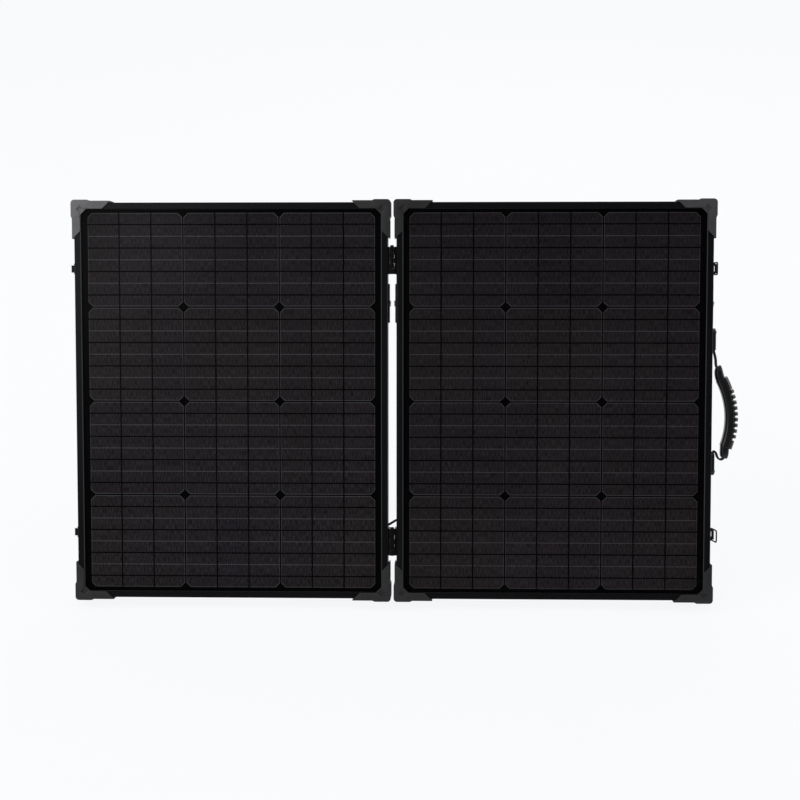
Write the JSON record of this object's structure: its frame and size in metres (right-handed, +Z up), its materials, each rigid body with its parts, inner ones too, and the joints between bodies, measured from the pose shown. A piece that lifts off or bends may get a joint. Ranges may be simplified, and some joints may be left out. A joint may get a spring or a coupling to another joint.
{
  "type": "folding solar panel",
  "caption": "Briefcase-style folding solar panel: two framed glass panels hinged together, kickstands behind, draw latches and a strap handle.",
  "frame": {"origin": "centre of the footprint of the opened panel, on the ground", "axes": "+Z up, +X along both panels towards the handle edge, +Y from the glass towards the stands"},
  "size_m": [1.1162, 0.3563, 0.6324],
  "materials": {
    "black_frame": "black anodised, satin",
    "corner_plastic": "moulded black nylon, fine ribs",
    "box_plastic": "moulded black plastic",
    "bare_aluminium": "satin anodised",
    "seal_rubber": "matt black rubber",
    "glass": "low-iron tempered glass with a fine pattern",
    "silicon": "near-black monocrystalline silicon",
    "ribbon_metal": "black-coated ribbon",
    "backsheet": "black polymer sheet",
    "diode": "moulded diode",
    "dark_steel": "black plated steel",
    "bolt_steel": "zinc-plated steel",
    "foot_rubber": "matt black rubber",
    "hinge_casting": "black powder-coated casting",
    "strap_web": "black woven webbing",
    "grip_rubber": "black rubber with finger ridges",
    "cable_sheath": "black rubber sheath"
  },
  "bodies": {
    "right_panel": {"right_top_rail": "black_frame", "right_bottom_rail": "black_frame", "right_inner_rail": "black_frame", "right_outer_rail": "black_frame", "right_corner_keys": "bare_aluminium", "right_gasket": "seal_rubber", "right_glass": "glass", "right_cells": "silicon", "right_ribbons": "ribbon_metal", "right_backsheet": "backsheet", "right_junction_box": "box_plastic", "right_junction_lid": "box_plastic", "right_diodes": "diode", "right_cable_gland": "seal_rubber", "right_top_inner_guard": "corner_plastic", "right_top_outer_guard": "corner_plastic", "right_bottom_inner_guard": "corner_plastic", "right_bottom_outer_guard": "corner_plastic", "right_pivot_plates": "dark_steel", "right_stand_pivots": "bolt_steel", "right_hinge_leaves": "hinge_casting", "right_screws": "bolt_steel", "hinge_pins": "bolt_steel", "latch_bases": "dark_steel", "handle_brackets": "box_plastic", "link_cable": "cable_sheath"},
    "left_panel": {"left_top_rail": "black_frame", "left_bottom_rail": "black_frame", "left_inner_rail": "black_frame", "left_outer_rail": "black_frame", "left_corner_keys": "bare_aluminium", "left_gasket": "seal_rubber", "left_glass": "glass", "left_cells": "silicon", "left_ribbons": "ribbon_metal", "left_backsheet": "backsheet", "left_junction_box": "box_plastic", "left_junction_lid": "box_plastic", "left_diodes": "diode", "left_cable_gland": "seal_rubber", "left_top_inner_guard": "corner_plastic", "left_top_outer_guard": "corner_plastic", "left_bottom_inner_guard": "corner_plastic", "left_bottom_outer_guard": "corner_plastic", "left_pivot_plates": "dark_steel", "left_stand_pivots": "bolt_steel", "left_hinge_leaves": "hinge_casting", "left_screws": "bolt_steel", "latch_catches": "dark_steel"},
    "right_stand": {"right_stand_frame": "bare_aluminium", "right_stand_feet": "foot_rubber"},
    "left_stand": {"left_stand_frame": "bare_aluminium", "left_stand_feet": "foot_rubber"},
    "upper_lever": {"upper_latch_lever": "dark_steel"},
    "upper_bail": {"upper_latch_bail": "dark_steel"},
    "lower_lever": {"lower_latch_lever": "dark_steel"},
    "lower_bail": {"lower_latch_bail": "dark_steel"},
    "handle": {"handle_core": "strap_web", "handle_sleeve": "grip_rubber", "handle_strap": "strap_web"}
  },
  "joints": [
    {"name": "fold", "type": "hinge", "parent": "right_panel", "child": "left_panel", "pos_m": [-0.01975, -0.04052, 0.32463], "axis": [0, 0.4067, 0.9135], "range_deg": [0, 180], "deforming": ["link_cable"]},
    {"name": "right_stand_fold", "type": "hinge", "parent": "right_panel", "child": "right_stand", "pos_m": [0.2499, 0.05197, 0.46352], "axis": [1, 0, 0], "range_deg": [-38.14, 0]},
    {"name": "left_stand_fold", "type": "hinge", "parent": "left_panel", "child": "left_stand", "pos_m": [-0.2894, 0.05197, 0.46352], "axis": [1, 0, 0], "range_deg": [-38.14, 0]},
    {"name": "upper_lever_turn", "type": "hinge", "parent": "right_panel", "child": "upper_lever", "pos_m": [0.5163, 0.06028, 0.52276], "axis": [0, 0.4067, 0.9135], "range_deg": [-115, 0]},
    {"name": "upper_bail_swing", "type": "hinge", "parent": "upper_lever", "child": "upper_bail", "pos_m": [0.5157, 0.06485, 0.52073], "axis": [0, 0.4067, 0.9135], "range_deg": [0, 138]},
    {"name": "lower_lever_turn", "type": "hinge", "parent": "right_panel", "child": "lower_lever", "pos_m": [0.5163, -0.12031, 0.11715], "axis": [0, 0.4067, 0.9135], "range_deg": [-115, 0]},
    {"name": "lower_bail_swing", "type": "hinge", "parent": "lower_lever", "child": "lower_bail", "pos_m": [0.5157, -0.11574, 0.11511], "axis": [0, 0.4067, 0.9135], "range_deg": [0, 138]},
    {"name": "handle_swing", "type": "hinge", "parent": "right_panel", "child": "handle", "pos_m": [0.5164, -0.02134, 0.31609], "axis": [0, 0.4067, 0.9135], "range_deg": [-20, 20]}
  ],
  "couplings": [
    {"joint": "upper_bail_swing", "follows": "upper_lever_turn", "ratio": -1.2},
    {"joint": "lower_bail_swing", "follows": "lower_lever_turn", "ratio": -1.2}
  ]
}
